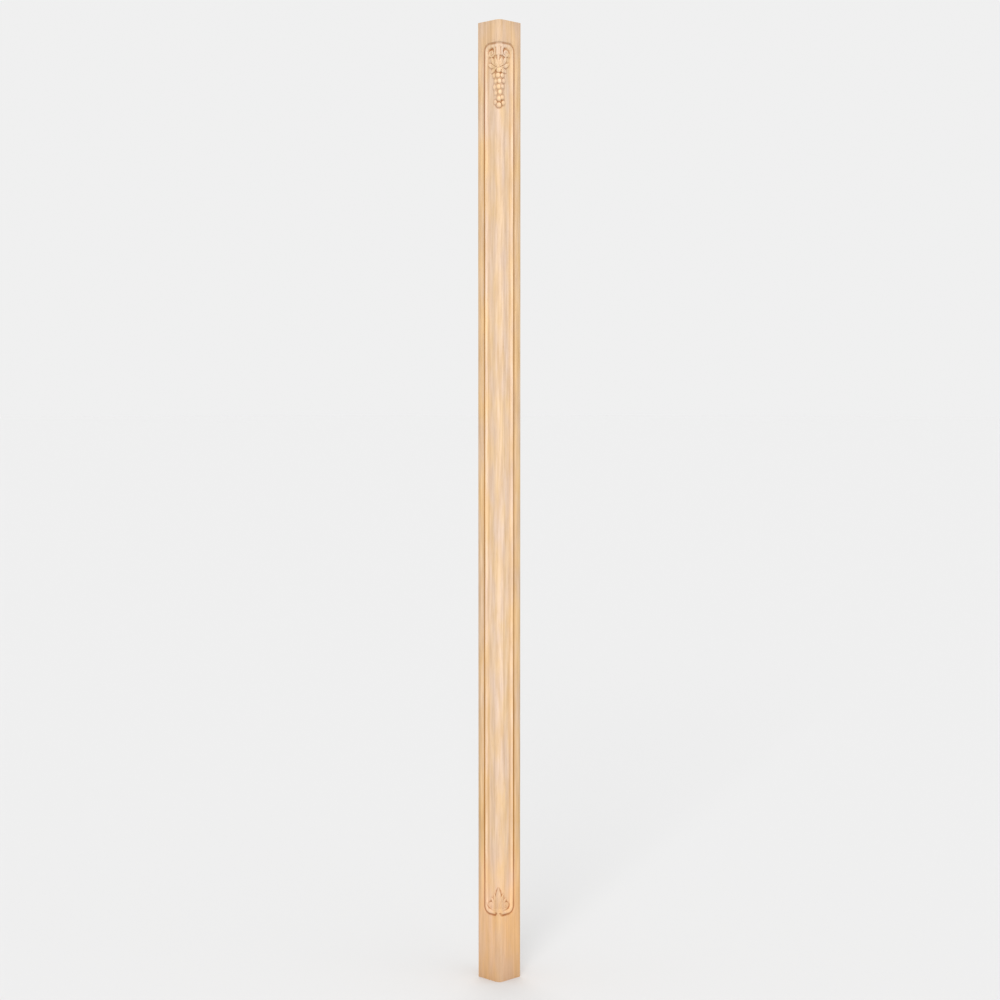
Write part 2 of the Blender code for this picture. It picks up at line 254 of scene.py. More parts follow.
def lobe(relief, points, width, top, bend, vein):
    """Pointed lobe of a leaf: two swelling halves either side of a sunk vein, with a toothed edge."""
    place, across, up = relief.window(*box_of(points, width + FORM_MARGIN))
    near, share, _ = follow(points, across, up)
    along = np.clip(share, 0, 1)
    wide = width * leaf_outline(along, bend, LOBE_OUTLINE)
    wide = wide * (1 + TOOTH_SIZE * (np.abs(np.sin(along * math.pi * TEETH)) - 0.5))
    ratio = near / wide
    rise = top * (LOBE_LOW + LOBE_SWELL * np.sin(math.pi * np.clip(along * LOBE_CREST, 0, 1)))
    rise = rise * (1 - step_between(*LOBE_TIP, along) * TIP_DROP)
    fade = cuts_fade(along, FADE_ROOT)
    form = rise * cushion(ratio) - vein * fade * bell(near, 0, VEIN_HALF)
    ribs = np.cos((near * RIB_OUTWARD - along * RIB_FORWARD) * RIB_WAVES)
    ribs = ribs * np.clip(ratio * RIB_STARTS, 0, 1)
    form = form + RIB_SIZE * ribs * fade * np.clip(FADE_EDGE - ratio, 0, 1)
    relief.join(place, form, LOBE_SOFT)


# Scrolls: a band that turns in to an eye, wider than tall, grooved along its outer half
SCROLL_STEPS = 44
SCROLL_DECAY = 0.72  # how fast a turn closes in
SCROLL_STRETCH = 1.12
SCROLL_BED = (0.84, 0.76)
SCROLL_BED_SOFT = 0.1
BAND_TAPER = 0.30
BAND_LOW = 0.86  # rise at the root, to which the rise to the eye is added
BAND_RISE = 0.14
BAND_SQUARENESS = 3.0
BAND_SOFT = 0.05
BAND_GROOVE = 0.13
BAND_GROOVE_OUT = 0.42
BAND_GROOVE_HALF = 0.55
EYE_SIZE = (1.25, 1.20)
EYE_TOP = 1.04
EYE_SOFT = 0.03


def scroll_points(side, middle, radius, start, turns, root):
    """Line of a scroll's band, from its root in to the eye."""
    points = [(AXIS + side * x, y) for x, y in root]
    for step in range(SCROLL_STEPS + 1):
        share = step / SCROLL_STEPS
        angle = math.radians(start + 360 * turns * share)
        reach = radius * math.exp(-SCROLL_DECAY * turns * share)
        points.append((AXIS + side * (middle[0] + SCROLL_STRETCH * reach * math.cos(angle)),
                       middle[1] + reach * math.sin(angle)))
    return points


def scroll(relief, side, middle, radius, start, turns, root, width, top, bed):
    """Band that comes from its root and curls in to an eye, on a low bed."""
    points = scroll_points(side, middle, radius, start, turns, root)
    dome(relief, (AXIS + side * middle[0], middle[1]), [radius * share for share in SCROLL_BED],
         top * bed, SCROLL_BED_SOFT, BAND_SQUARENESS)
    place, across, up = relief.window(*box_of(points, width + FORM_MARGIN))
    near, share, hand = follow(points, across, up)
    half = width * (1.0 - BAND_TAPER * share)
    band = top * (BAND_LOW + BAND_RISE * share) * cushion(near / half, BAND_SQUARENESS)
    outer = side * hand < 0
    band = band - BAND_GROOVE * bell(near, half * BAND_GROOVE_OUT, BAND_GROOVE_HALF) * outer
    relief.join(place, band, BAND_SOFT)
    dome(relief, points[-1], [width * share for share in EYE_SIZE], top * EYE_TOP, EYE_SOFT)


# Stem from the bead to the bunch: its line, half width, rise and section
STEM_TOP = 2376.0
STEM_BEND = (0.3, 2350.0)
STEM_FOOT = 2324.0
STEM_HALF = 3.1
STEM_FLARE = 0.4
STEM_RISE = 0.88
STEM_ROUNDNESS = 2.2
STEM_MARGIN = 6
STEM_SOFT = 0.06
STEM_BED = ((0, 2346.0), (13.0, 8.0), 0.34, 0.10)
STEM_HEAD = ((0, 2371.5), (3.6, 5.5), 0.96, 0.06)
STEM_KNOT = ((0, STEM_FOOT - 1.5), (4.4, 5.0), 0.90, 0.06)

# Scroll and leaf each side of the stem; a lobe has a slope, a length, a half width and a bow
TOP_SCROLL = {"middle": (20.4, 2356.6), "radius": 9.2, "start": 187, "turns": 1.30,
              "root": ((9.4, STEM_TOP), (9.0, 2367.0), (9.2, 2360.0)),
              "width": 2.9, "top": 0.96, "bed": 0.56}
TOP_SCROLL_BACK = ((32.5, 2352.5), (5.5, 5.5), 0.55, 0.10)
LEAF_ROOT = 2320.5
LEAF_TOP = 0.98
LEAF_BEND = 1.4
LEAF_VEIN = 0.24
LEAF_LOBES = ((67, 26.5, 5.6, 0.06), (42, 35.0, 5.8, 0.10), (10, 34.5, 5.6, 0.10),
              (-25, 25.5, 5.2, -0.05))
LEAF_BED = ((8.0, 2329.0), (11.0, 11.0), 0.45, 0.10)

# Round-headed pockets over the scrolls, and the hanger: the wood between them round the stem
POCKET_MIDDLE = 25.2
POCKET_HALF = 12.8
POCKET_TOP = 2371.0
POCKET_RADIUS = 11.0
POCKET_SINK = 0.8  # how far the ground is lower over the top scrolls
POCKET_FLOOR = (2354.0, 2364.0)
HANGER_HALF = 22
HANGER_FOOT = (2344.0, 2353.0)
HANGER_SINK = 1.6
HANGER_LEFT_RUN = 12.0  # distance from a pocket to the hanger's full rise
HANGER_RIGHT_RUN = 5.0
HANGER_RISE = 0.94
HANGER_EDGE = 0.08
HANGER_EDGE_FALL = 0.9
HANGER_HOLLOW = 0.36
HANGER_HOLLOW_OUT = 5.6
HANGER_HOLLOW_HALF = 1.5
HANGER_SOFT = 0.06


def pocket_distance(across, up):
    """Distance outside the two round-headed pockets over the scrolls, less than 0 inside them."""
    beside = np.abs(np.abs(across - AXIS) - POCKET_MIDDLE) - (POCKET_HALF - POCKET_RADIUS)
    over = up - (POCKET_TOP - POCKET_RADIUS)
    return box_distance(beside, over) - POCKET_RADIUS


def hanger(relief):
    """Wood between the pockets, hollowed either side of the stem."""
    place, across, up = relief.window(HANGER_FOOT[0], STEM_TOP, AXIS - HANGER_HALF, AXIS + HANGER_HALF)
    run = np.where(across < AXIS, HANGER_LEFT_RUN, HANGER_RIGHT_RUN)
    rise = np.clip(pocket_distance(across, up) / run, 0, 1)
    form = HANGER_RISE * (1 - (1 - rise) ** 2) ** FULLNESS
    form = form - HANGER_EDGE_FALL * (1 - step_between(0, HANGER_EDGE, rise))
    form = form - HANGER_HOLLOW * bell(np.abs(across - AXIS), HANGER_HOLLOW_OUT, HANGER_HOLLOW_HALF)
    form = form - HANGER_SINK * (1 - step_between(*HANGER_FOOT, up))
    relief.join(place, form, HANGER_SOFT)


def stem(relief):
    """Stem that hangs from the bead, with a head over it and a knot at the bunch."""
    line = [(AXIS, STEM_TOP), (AXIS + STEM_BEND[0], STEM_BEND[1]), (AXIS, STEM_FOOT)]
    place, across, up = relief.window(*box_of(line, STEM_MARGIN))
    near, share, _ = follow(line, across, up)
    section = cushion(near / (STEM_HALF + STEM_FLARE * share), STEM_ROUNDNESS)
    relief.join(place, STEM_RISE * section, STEM_SOFT)
    for form in (STEM_BED, STEM_HEAD, STEM_KNOT):
        boss(relief, form)


def top_leaves(relief):
    """Scrolls that hang from the border, a lobed leaf under each, and the stem between them."""
    for side in (-1, 1):
        for slope, length, width, bow in LEAF_LOBES:
            points = curve_points((AXIS, LEAF_ROOT), slope, length, bow, side)
            lobe(relief, points, width, LEAF_TOP, LEAF_BEND, LEAF_VEIN)
        boss(relief, LEAF_BED, side)
        scroll(relief, side, **TOP_SCROLL)
        boss(relief, TOP_SCROLL_BACK, side)
    hanger(relief)
    stem(relief)


# Bunch of grapes: places in a row and starts of the rows are in pitches, across and up
GRAPE_ROWS = ((0.1, 1.15), (-1.15, -0.1, 0.95), (-0.65, 0.2, 1.3), (-1.0, 0.0, 1.0), (-0.6, 0.35),
              (0.1, 0.95), (-0.75, 1.2), (0.1,))
ROW_STARTS = (0.0, 1.0, 2.0, 3.0, 4.0, 5.1, 5.75, 6.2)
ROW_TILTS = (-0.15, 0.0, 0.05, 0.05, 0.22, 0.25, -0.06, 0.0)
GRAPE_PITCH = (10.4, 14.1)
GRAPE_START = 2314.5
GRAPE_SIZE = (6.5, 7.4)
GRAPE_VARIES = (0.3, 0.4)
GRAPE_TOP = 0.92
GRAPE_SOFT = 0.10
SIDE_GRAPE = 0.5
SIDE_GRAPE_LESS = 0.10
BUNCH_BED = ((0, 2271.0), (13.0, 43.0), 0.36, 0.10, 3.0)
SEED = 7


def bunch(relief, random):
    """Grapes side by side on a low bed, each a little different."""
    boss(relief, BUNCH_BED)
    for places, start, tilt in zip(GRAPE_ROWS, ROW_STARTS, ROW_TILTS):
        for place in places:
            middle = (AXIS + place * GRAPE_PITCH[0],
                      GRAPE_START - (start - tilt * place) * GRAPE_PITCH[1])
            small = 1 - SIDE_GRAPE_LESS * (abs(place) > SIDE_GRAPE)
            size = [small * half + random.uniform(-most, most)
                    for half, most in zip(GRAPE_SIZE, GRAPE_VARIES)]
            dome(relief, middle, size, GRAPE_TOP, GRAPE_SOFT)


# Palmette: its side lobes, its middle lobe with flutes, and the scroll on each side
PALMETTE_FOOT = 182.0
PALMETTE_TIP = 241.0
PALMETTE_HALF = 8.4
PALMETTE_BEND = 0.85
PALMETTE_OUTLINE = 0.90
PALMETTE_RISE = 0.90
PALMETTE_DROP = 0.50
PALMETTE_DROPS = (0.40, 1.0)
PALMETTE_MARGIN = 16
PALMETTE_SOFT = 0.06
FLUTES = 3
FLUTE_SIZE = 0.10
FLUTE_ROOT = (0.06, 0.22)
SIDE_LOBE_ROOT = PALMETTE_FOOT + 2
SIDE_LOBE_TOP = 0.88
SIDE_LOBE_BEND = 1.0
SIDE_LOBE_VEIN = 0.20
SIDE_LOBES = ((44, 30.5, 6.0, -0.10), (59, 36.5, 6.4, -0.07), (76, 43.5, 6.6, -0.04))
FOOT_SCROLL = {"middle": (21.0, 196.0), "radius": 8.4, "start": 262, "turns": 1.35,
               "root": ((2.0, 182.5), (8.0, 186.5)), "width": 2.4, "top": 0.94, "bed": 0.62}
FOOT_SCROLL_ROOT = ((14.0, 190.5), (7.5, 6.0), 0.74, 0.10)
PALMETTE_BED = ((0, 198.0), (14.5, 22.0), 0.50, 0.12, 2.4)
PALMETTE_BASE = ((0, 184.5), (24.0, 7.5), 0.86, 0.12, 3.0)
PALMETTE_BUD = ((0, 180.5), (5.0, 4.6), 0.80, 0.08)


def middle_lobe(relief):
    """Tall fluted lobe in the middle of the palmette."""
    spine = [(AXIS, PALMETTE_FOOT), (AXIS, PALMETTE_TIP)]
    place, across, up = relief.window(*box_of(spine, PALMETTE_MARGIN))
    near = follow(spine, across, up)[0]
    along = np.clip((up - PALMETTE_FOOT) / (PALMETTE_TIP - PALMETTE_FOOT), 0, 1)
    ratio = near / (PALMETTE_HALF * leaf_outline(along, PALMETTE_BEND, PALMETTE_OUTLINE))
    rise = PALMETTE_RISE - PALMETTE_DROP * step_between(*PALMETTE_DROPS, along)
    flutes = np.cos(ratio * math.pi * FLUTES) * np.clip(FADE_EDGE - ratio, 0, 1)
    form = rise * cushion(ratio) + FLUTE_SIZE * flutes * cuts_fade(along, FLUTE_ROOT)
    relief.join(place, form, PALMETTE_SOFT)


def palmette(relief):
    """Palmette between two scrolls."""
    for side in (-1, 1):
        for slope, length, width, bow in SIDE_LOBES:
            points = curve_points((AXIS, SIDE_LOBE_ROOT), slope, length, bow, side)
            lobe(relief, points, width, SIDE_LOBE_TOP, SIDE_LOBE_BEND, SIDE_LOBE_VEIN)
        scroll(relief, side, **FOOT_SCROLL)
        boss(relief, FOOT_SCROLL_ROOT, side)
    boss(relief, PALMETTE_BED)
    boss(relief, PALMETTE_BASE)
    middle_lobe(relief)
    boss(relief, PALMETTE_BUD)


# Gouge cuts: a depth in millimetres and a line beside the axis; the palmette's are on both sides
GOUGE_HALF = 2.9
GOUGE_ENDS = 0.4  # share of the depth at a cut's ends, to which the swell is added
GOUGE_SWELL = 2.4
PALMETTE_CUTS = ((0.9, ((4.2, 237.5), (6.6, 231.0))),
                 (1.1, ((12.6, 219.5), (15.0, 217.5))),
                 (1.3, ((23.5, 206.0), (26.5, 204.0))),
                 (3.0, ((36.0, 196.0), (35.0, 191.0), (31.6, 186.8), (26.8, 184.6))))
SCROLL_CUTS = ((2.8, ((-34.3, 2357.0), (-32.4, 2362.5), (-28.0, 2366.0), (-22.0, 2368.8),
                      (-17.5, 2368.8))),
               (1.6, ((11.8, 2361.0), (13.4, 2366.6), (19.0, 2370.2), (26.0, 2370.2),
                      (31.5, 2367.0))))


def gouge(depth, wide, tall, sink, line):
    """Add a tapering gouge cut along a line to a map of depths."""
    low, high, _, _ = box_of(line, 3 * GOUGE_HALF)
    rows = slice(*np.searchsorted(tall[:, 0], (low, high)))
    near, share, _ = follow(line, wide[rows], tall[rows])
    cut = sink * (GOUGE_ENDS + GOUGE_SWELL * share * (1 - share)) * bell(near, 0, GOUGE_HALF)
    depth[rows] = np.maximum(depth[rows], cut)


def gouge_cuts(wide, tall):
    """Depth of the gouge cuts round the palmette and over the top scrolls."""
    depth = np.zeros(wide.shape)
    for cuts, sides in ((PALMETTE_CUTS, (-1, 1)), (SCROLL_CUTS, (1,))):
        for side in sides:
            for sink, points in cuts:
                gouge(depth, wide, tall, sink, [(AXIS + side * x, y) for x, y in points])
    return depth


# Groove round the panel, by its middle line: softer on the right face, shallower along the top
PANEL_MIDDLE = -0.6
PANEL_CORNER = 19.0
GROOVE_ACROSS = 46.6
GROOVE_TOP = 2380.5
GROOVE_FOOT = 171.8
GROOVE_HALF = 3.6
GROOVE_HALF_RIGHT = 4.0
GROOVE_DEPTH = 3.1
GROOVE_DEPTH_RIGHT = 2.5
GROOVE_DEPTH_TOP = 2.3
GROOVE_ROUNDNESS = 0.8
GROOVE_CLIMB = 1.5  # slope outside the groove, clear of the skin
RIGHT_FACE = (-20, 30)
OVER_FOOT = (190, 230)
UNDER_TOP = (2350, 2376)

# Hooked ends of the groove either side of the bud, as an arc in steps of some degrees
HOOK_GAP = 4.3
HOOK_RISE = 6.4
HOOK_RUN = 6.5
HOOK_LEAD = 2  # length shared with the groove
HOOK_STEP = 10
HOOK_STEPS = 8
HOOK_BESIDE = 30  # box where the hooks are looked for
HOOK_TALL = 20
GAP_TALL = 30  # height of the box where the groove stops

# Bead inside the groove, by its distance from the groove's middle; its foot is steeper at the carvings
BEAD_CREST = 3.6
BEAD_DROP = 0.2  # crest under the blank's skin
BEAD_FOOT_SIDE = 14.0
BEAD_FOOT_TOP = 12.4
BEAD_FOOT_BOTTOM = 13.2
BEAD_LIP = 1.0  # fall from the crest to the groove's middle
BEAD_FALL = 0.8  # slope inside the field, under the ground
BEAD_BEND = 1.15  # over 1 is a full bead with a steep foot
BEAD_BEND_AT_CARVING = 1.8
BEAD_AT_PALMETTE = (190, 215)
BEAD_AT_SCROLLS = (2335, 2360)


def inside_panel(across, up, half, low, high, corner):
    """Distance inside a panel with rounded corners, less than 0 outside it."""
    beside = np.abs(across - PANEL_MIDDLE) - (half - corner)
    over = np.abs(up - (low + high) / 2) - ((high - low) / 2 - corner)
    return corner - box_distance(beside, over)


def border_distances(across, up):
    """Distances inside the middle of the groove, and inside the edge of the field."""
    inward = inside_panel(across, up, GROOVE_ACROSS, GROOVE_FOOT, GROOVE_TOP, PANEL_CORNER)
    field = inside_panel(across, up, GROOVE_ACROSS - BEAD_FOOT_SIDE, GROOVE_FOOT + BEAD_FOOT_BOTTOM,
                         GROOVE_TOP - BEAD_FOOT_TOP, FIELD_CORNER)
    return inward, field


def hooks(across, up):
    """Distance from the two hooked ends of the groove."""
    near = np.full(across.shape, FAR)
    turn = math.radians(HOOK_STEP)
    for side in (-1, 1):
        points = [(AXIS + side * (HOOK_GAP + HOOK_RUN + HOOK_LEAD), GROOVE_FOOT)]
        for step in range(HOOK_STEPS + 1):
            points.append((AXIS + side * (HOOK_GAP + HOOK_RISE * (1 - math.sin(turn * step))),
                           GROOVE_FOOT + HOOK_RISE * (1 - math.cos(turn * step))))
        near = np.minimum(near, follow(points, across, up)[0])
    return near


def groove_distance(inward, wide, tall):
    """Distance from the middle of the groove, which stops at its hooked ends under the palmette."""
    beside = np.abs(wide - AXIS)
    gap = (beside < HOOK_GAP + HOOK_RUN) & (tall < GROOVE_FOOT + GAP_TALL)
    ring = np.where(gap, FAR, np.abs(inward))
    low = (tall < GROOVE_FOOT + HOOK_TALL) & (beside < HOOK_BESIDE)
    return np.where(low, np.minimum(ring, hooks(wide, tall)), ring)


def groove_height(inward, wide, tall, skin):
    """Height of the groove's hollow; beside it, a height over the skin that leaves the skin alone."""
    ring = groove_distance(inward, wide, tall)
    at_top = step_between(*UNDER_TOP, tall)
    at_right = step_between(*RIGHT_FACE, wide) * step_between(*OVER_FOOT, tall) * (1 - at_top)
    half = GROOVE_HALF + (GROOVE_HALF_RIGHT - GROOVE_HALF) * at_right
    depth = GROOVE_DEPTH + (GROOVE_DEPTH_RIGHT - GROOVE_DEPTH) * at_right
    depth = depth + (GROOVE_DEPTH_TOP - depth) * at_top
    hollow = np.cos(np.minimum(ring / half, 1) * math.pi / 2) ** GROOVE_ROUNDNESS
    return skin - depth * hollow + GROOVE_CLIMB * np.maximum(ring - half, 0)


def bead_height(inward, field, limit, tall):
    """Height of the bead: an ogee from the field's edge up to its crest, and a lip to the groove."""
    past_crest = np.maximum(inward - BEAD_CREST, 0)
    run = past_crest / (past_crest + np.maximum(-field, 0) + TINY)
    bend = BEAD_BEND + BEAD_BEND_AT_CARVING * at_ends(BEAD_AT_PALMETTE, BEAD_AT_SCROLLS, tall)
    lip = np.clip((BEAD_CREST - inward) / BEAD_CREST, 0, 1)
    bead = limit * (0.5 + 0.5 * np.cos(math.pi * run ** bend)) - BEAD_LIP * lip ** 2
    return bead - np.maximum(field, 0) * BEAD_FALL


# Running means each way that make one blur
BLUR_ROUNDS = 3


def spread(values, reach):
    """Blur a map by about the reach in millimetres, with running means each way."""
    half = max(1, round(reach / GRID))
    width = 2 * half + 1
    for axis in (0, 1):
        pads = [(0, 0), (0, 0)]
        pads[axis] = (half + 1, half)
        for _ in range(BLUR_ROUNDS):
            total = np.cumsum(np.pad(values, pads, mode="edge"), axis=axis)
            count = total.shape[axis]
            ahead = np.take(total, range(width, count), axis)
            values = (ahead - np.take(total, range(count - width), axis)) / width
    return values


# Tool marks on the ground: depth, and waves in radians a millimetre
MARK_DEPTH = 0.07
MARK_ACROSS = 1.7
MARK_SWAY = 0.8
MARK_SWAY_UP = 0.12
MARK_UP = 0.27
MARK_SLANT = 0.3
MARKS_AT_FOOT = (255, 285)
MARKS_AT_TOP = (2190, 2225)


def tool_marks(wide, tall):
    """Faint facets that the gouge leaves on the ground round the carving."""
    waves = np.sin(wide * MARK_ACROSS + MARK_SWAY * np.sin(tall * MARK_SWAY_UP))
    waves = waves * np.sin(tall * MARK_UP + wide * MARK_SLANT)
    return MARK_DEPTH * waves * at_ends(MARKS_AT_FOOT, MARKS_AT_TOP, tall)


def ground_height(share, wide, tall):
    """Height of the ground: marked by the tool, set in round the forms, lower over the top scrolls."""
    on_form = step_between(*FORM_EDGE, share)
    ground = tool_marks(wide, tall) - SET_IN * spread(on_form, SET_IN_REACH) * (1 - on_form)
    return ground - POCKET_SINK * step_between(*POCKET_FLOOR, tall)


def carved_share(across, up):
    """All the carved forms, as shares of the field's depth."""
    relief = Relief(across, up)
    top_leaves(relief)
    bunch(relief, np.random.default_rng(SEED))
    palmette(relief)
    return relief.share


# Maps for the wood: blurs for sunk places, the panel, and the painted highlight by middle, half width and
# power
SUNK_REACHES = (1.3, 3.8)
PANEL_EDGE = (-3.0, 6.0)
HIGHLIGHT_BEAD = (11.5, 6.0, 4)
HIGHLIGHT_FLATS = (-6.5, 3.5)
HIGHLIGHT_FLATS_SHARE = 0.5
HIGHLIGHT_ARRIS = 11.0
HIGHLIGHT_ARRIS_SHARE = 0.3
UNDER_PALMETTE = 20
UNDER_PALMETTE_LESS = 0.5


def painted_highlight_map(inward, panel, wide, tall):
    """Where highlight is painted: the bead, less under the palmette, the flats beside it, and the arris.
    """
    painted_highlight = bell(inward, *HIGHLIGHT_BEAD) + HIGHLIGHT_FLATS_SHARE * bell(inward, *HIGHLIGHT_FLATS)
    under_palmette = (np.abs(wide - AXIS) < UNDER_PALMETTE) * (tall < HEIGHT / 2)
    painted_highlight = painted_highlight * (1 - UNDER_PALMETTE_LESS * panel * under_palmette)
    return painted_highlight + HIGHLIGHT_ARRIS_SHARE * panel * bell(wide, 0, HIGHLIGHT_ARRIS)


def surface(across, up):
    """Height of the finished surface, how deep it lies among its surroundings, panel, and where highlight
    is painted.
    """
    wide, tall = np.meshgrid(across, up)
    skin = skin_height(wide)
    limit = skin - BEAD_DROP
    share = carved_share(across, up)
    forms = share * np.where(share > 0, limit - SKIN_GAP, OUTSIDE_FALL)
    inward, field = border_distances(wide, tall)
    bead = bead_height(inward, field, limit, tall)
    height = smooth_max(bead, ground_height(share, wide, tall), GROUND_SOFT)
    height = smooth_max(height, forms, GROUND_SOFT) - gouge_cuts(wide, tall)
    height = smooth_min(height, limit, SKIN_SOFT)
    height = skin + (height - skin) * step_between(*CARVED_FROM, inward)
    height = smooth_min(height, groove_height(inward, wide, tall, skin), SKIN_SOFT)
    height = np.minimum(height, skin)
    near, far = [spread(height, reach) for reach in SUNK_REACHES]
    sunk = 0.5 * near + 0.5 * far - height
    panel = step_between(*PANEL_EDGE, inward)
    return height, sunk, panel, painted_highlight_map(inward, panel, wide, tall)


# Mesh: spacing at the carvings, at the border's sides and elsewhere, and its limit of triangles
GRID = 0.38
BORDER_GRID = 0.5
PLAIN_GRID = 6.0
SHAFT_GRID = 30.0
TOP_GRID = 12.0
CARVED_HALF = 38.0
BORDER_HALF = 50.0
EDGE_GAP = 0.2
LOW_CARVING = (166.0, 250.0)
HIGH_CARVING = (2214.0, 2386.0)
EASE_STEPS = 3
FACE_SHARES = (0.25, 0.5, 0.75)
SHARP_ANGLE = 60
END_FACING = 0.999
TRIANGLES = 190000


def ticks(stops, end):
    """Places from the first stop to the end; each stop gives the spacing from it on."""
    places = []
    ends = [start for start, _ in stops[1:]] + [end]
    for (start, gap), stop in zip(stops, ends):
        count = max(1, round((stop - start) / gap))
        places += list(np.linspace(start, stop, count, endpoint=False))
    return np.array(places + [end])


def map_lines():
    """Places across and up where the height map is worked out."""
    edge = SIDE - BACK_EASE - FIELD_DEPTH - FIELD_RADIUS + FIELD_ARC - EDGE_GAP
    across = ticks(((-edge, PLAIN_GRID), (-BORDER_HALF, BORDER_GRID), (-CARVED_HALF, GRID),
                    (CARVED_HALF, BORDER_GRID), (BORDER_HALF, PLAIN_GRID)), edge)
    up = ticks(((END_EASE, SHAFT_GRID), (LOW_CARVING[0], GRID), (LOW_CARVING[1], SHAFT_GRID),
                (HIGH_CARVING[0], GRID), (HIGH_CARVING[1], TOP_GRID)), HEIGHT - END_EASE)
    return across, up


def on_skin(across, height):
    """Place in plan of a height over the field."""
    turn = np.clip(across / FIELD_RADIUS, -EIGHTH_TURN, EIGHTH_TURN) - EIGHTH_TURN
    inset = FIELD_DEPTH + FIELD_RADIUS
    x = SIDE / 2 - inset + np.cos(turn) * (FIELD_RADIUS + height)
    y = inset - SIDE / 2 + np.sin(turn) * (FIELD_RADIUS + height)
    run = np.maximum(np.abs(across) - FIELD_ARC, 0)
    return x - np.where(across < 0, run, 0), y + np.where(across > 0, run, 0)


def back_profile():
    """Plan of the other three arrises and the two plain faces, from the +X face round to -Y."""
    half = SIDE / 2
    inner = half - BACK_EASE
    points = []
    for sx, sy, start in ((1, 1, 0), (-1, 1, 90), (-1, -1, 180)):
        for step in range(EASE_STEPS + 1):
            angle = math.radians(start + 90 * step / EASE_STEPS)
            points.append((sx * inner + BACK_EASE * math.cos(angle),
                           sy * inner + BACK_EASE * math.sin(angle)))
        for share in FACE_SHARES:
            if (sx, sy) == (1, 1):
                points.append((inner - share * 2 * inner, half))
            if (sx, sy) == (-1, 1):
                points.append((-half, inner - share * 2 * inner))
    return np.array(points)


def post_rings(across, up, height):
    """Points of the post as rings from the foot to the top, eased in at both ends."""
    x, y = on_skin(across[None, :], height)
    back = back_profile()
    rings = np.zeros((len(up), len(across) + len(back), 3))
    rings[:, :len(across), 0] = x
    rings[:, :len(across), 1] = y
    rings[:, len(across):, :2] = back
    rings[:, :, 2] = up[:, None]
    ends = []
    for row, level in ((0, 0.0), (-1, HEIGHT)):
        ring = rings[row] * (1 - END_EASE / (SIDE / 2))
        ring[:, 2] = level
        ends.append(ring)
    return np.concatenate([ends[0][None], rings, ends[1][None]])


def ring_faces(rows, count):
    """Faces between the rings, and one over each end."""
    low = np.arange((rows - 1) * count).reshape(rows - 1, count)
    right = np.roll(low, -1, axis=1)
    faces = np.stack([low, right, right + count, low + count], axis=-1).reshape(-1, 4).tolist()
    faces.append(list(range(count))[::-1])
    faces.append([(rows - 1) * count + i for i in range(count)])
    return faces


def finish_mesh(mesh):
    """Smooth shading with flat ends."""
    mesh.shade_smooth()
    mesh.set_sharp_from_angle(angle=math.radians(SHARP_ANGLE))
    for polygon in mesh.polygons:
        if abs(polygon.normal.z) > END_FACING:
            polygon.use_smooth = False
    mesh.update()


def post():
    """The whole post as one closed mesh, with the maps that the wood reads."""
    across, up = map_lines()
    height, sunk, panel, painted_highlight = surface(across, up)
    points = post_rings(across, up, height)
    rows, count, _ = points.shape
    mesh = bpy.data.meshes.new("carved_post")
    mesh.from_pydata((points.reshape(-1, 3) / MM).tolist(), [], ring_faces(rows, count))
    # The wood paints shade and highlight from these maps
    for name, values in (("sunk", sunk), ("panel", panel), ("painted_highlight", painted_highlight)):
        whole = np.zeros((rows, count), dtype=np.float32)
        whole[1:-1, :len(across)] = values
        mesh.attributes.new(name, "FLOAT", "POINT").data.foreach_set("value", whole.ravel())
    mesh.update()
    thing = bpy.data.objects.new("carved_post", mesh)
    bpy.context.scene.collection.objects.link(thing)
    return thing


def thin(thing, limit):
    """Merge the flattest triangles until the mesh is under its limit."""
    count = sum(len(p.vertices) - 2 for p in thing.data.polygons)
    if count > limit:
        decimate = thing.modifiers.new("thin", "DECIMATE")
        decimate.ratio = limit / count
        graph = bpy.context.evaluated_depsgraph_get()
        mesh = bpy.data.meshes.new_from_object(thing.evaluated_get(graph))
        thing.modifiers.clear()
        thing.data = mesh
    finish_mesh(thing.data)


# Colour sockets of the mix node
MIX_A = 6
MIX_B = 7
MIX_RESULT = 2


